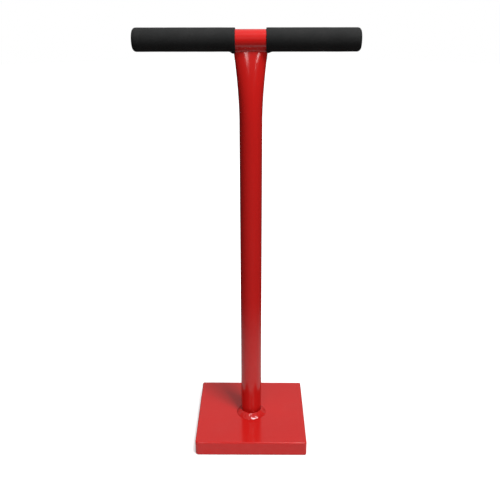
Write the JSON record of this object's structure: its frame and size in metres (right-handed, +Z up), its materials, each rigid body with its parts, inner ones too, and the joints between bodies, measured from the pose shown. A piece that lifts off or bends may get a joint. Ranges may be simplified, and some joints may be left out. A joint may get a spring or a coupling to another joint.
{
  "type": "hand tamper",
  "caption": "T-handled hand tamper: square steel plate, welded round shaft pinched oval under a cross tube, and closed foam grips, for packing earth round posts.",
  "frame": {"origin": "middle of the plate's underside, where the tool meets the ground and on the shaft's axis", "axes": "+Z up the shaft, +X along the handle towards the shorter grip, +Y from the front of the tool to its back"},
  "size_m": [0.3645, 0.203, 0.7385],
  "materials": {
    "red_paint": "glossy red powder coat over welded steel",
    "grip_foam": "matt black closed-cell foam, slightly pitted"
  },
  "bodies": {
    "root": {"base_plate": "red_paint", "foot_weld": "red_paint", "shaft_tube": "red_paint", "head_weld_front": "red_paint", "head_weld_back": "red_paint", "handle_tube": "red_paint", "left_grip": "grip_foam", "right_grip": "grip_foam"}
  },
  "joints": []
}
